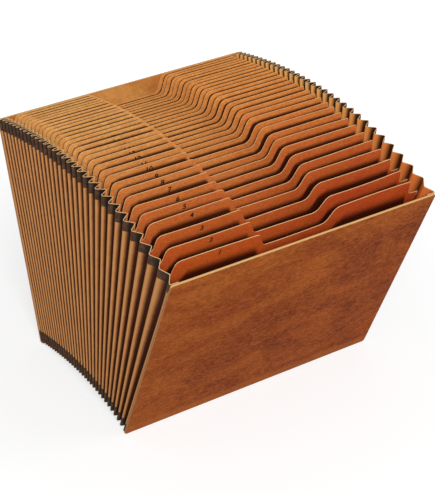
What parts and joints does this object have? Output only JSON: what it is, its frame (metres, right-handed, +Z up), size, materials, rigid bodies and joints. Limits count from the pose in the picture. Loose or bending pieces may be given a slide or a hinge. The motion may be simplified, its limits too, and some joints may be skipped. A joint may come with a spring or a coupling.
{
  "type": "expanding file folder",
  "caption": "Open-top expanding file fanned open, with pleated side gussets and tabbed, numbered dividers between two stiff covers.",
  "frame": {"origin": "on the table, under the middle of the file's width and depth", "axes": "+Z up, +X across the file from its left side gusset to its right one, +Y from the front cover to the rear cover"},
  "size_m": [0.305, 0.3548, 0.2748],
  "materials": {
    "cover_board": "mottled leather-like pressboard, slight sheen",
    "divider_card": "matt mottled card with light cut edges",
    "gusset_card": "matt fibrous paper with sharp creases",
    "dark_tape": "dark cloth tape, fine weave"
  },
  "bodies": {
    "root": {"front_cover": "cover_board", "rear_cover": "cover_board", "left_gusset": "gusset_card", "right_gusset": "gusset_card", "bottom_gusset": "gusset_card", "left_top_tape": "dark_tape", "left_bottom_tape": "dark_tape", "right_top_tape": "dark_tape", "right_bottom_tape": "dark_tape", "divider_01": "divider_card", "divider_02": "divider_card", "divider_03": "divider_card", "divider_04": "divider_card", "divider_05": "divider_card", "divider_06": "divider_card", "divider_07": "divider_card", "divider_08": "divider_card", "divider_09": "divider_card", "divider_10": "divider_card", "divider_11": "divider_card", "divider_12": "divider_card", "divider_13": "divider_card", "divider_14": "divider_card", "divider_15": "divider_card", "divider_16": "divider_card", "divider_17": "divider_card", "divider_18": "divider_card", "divider_19": "divider_card", "divider_20": "divider_card", "divider_21": "divider_card", "divider_22": "divider_card", "divider_23": "divider_card", "divider_24": "divider_card", "divider_25": "divider_card", "divider_26": "divider_card", "divider_27": "divider_card", "divider_28": "divider_card", "divider_29": "divider_card", "divider_30": "divider_card", "divider_31": "divider_card"}
  },
  "joints": []
}
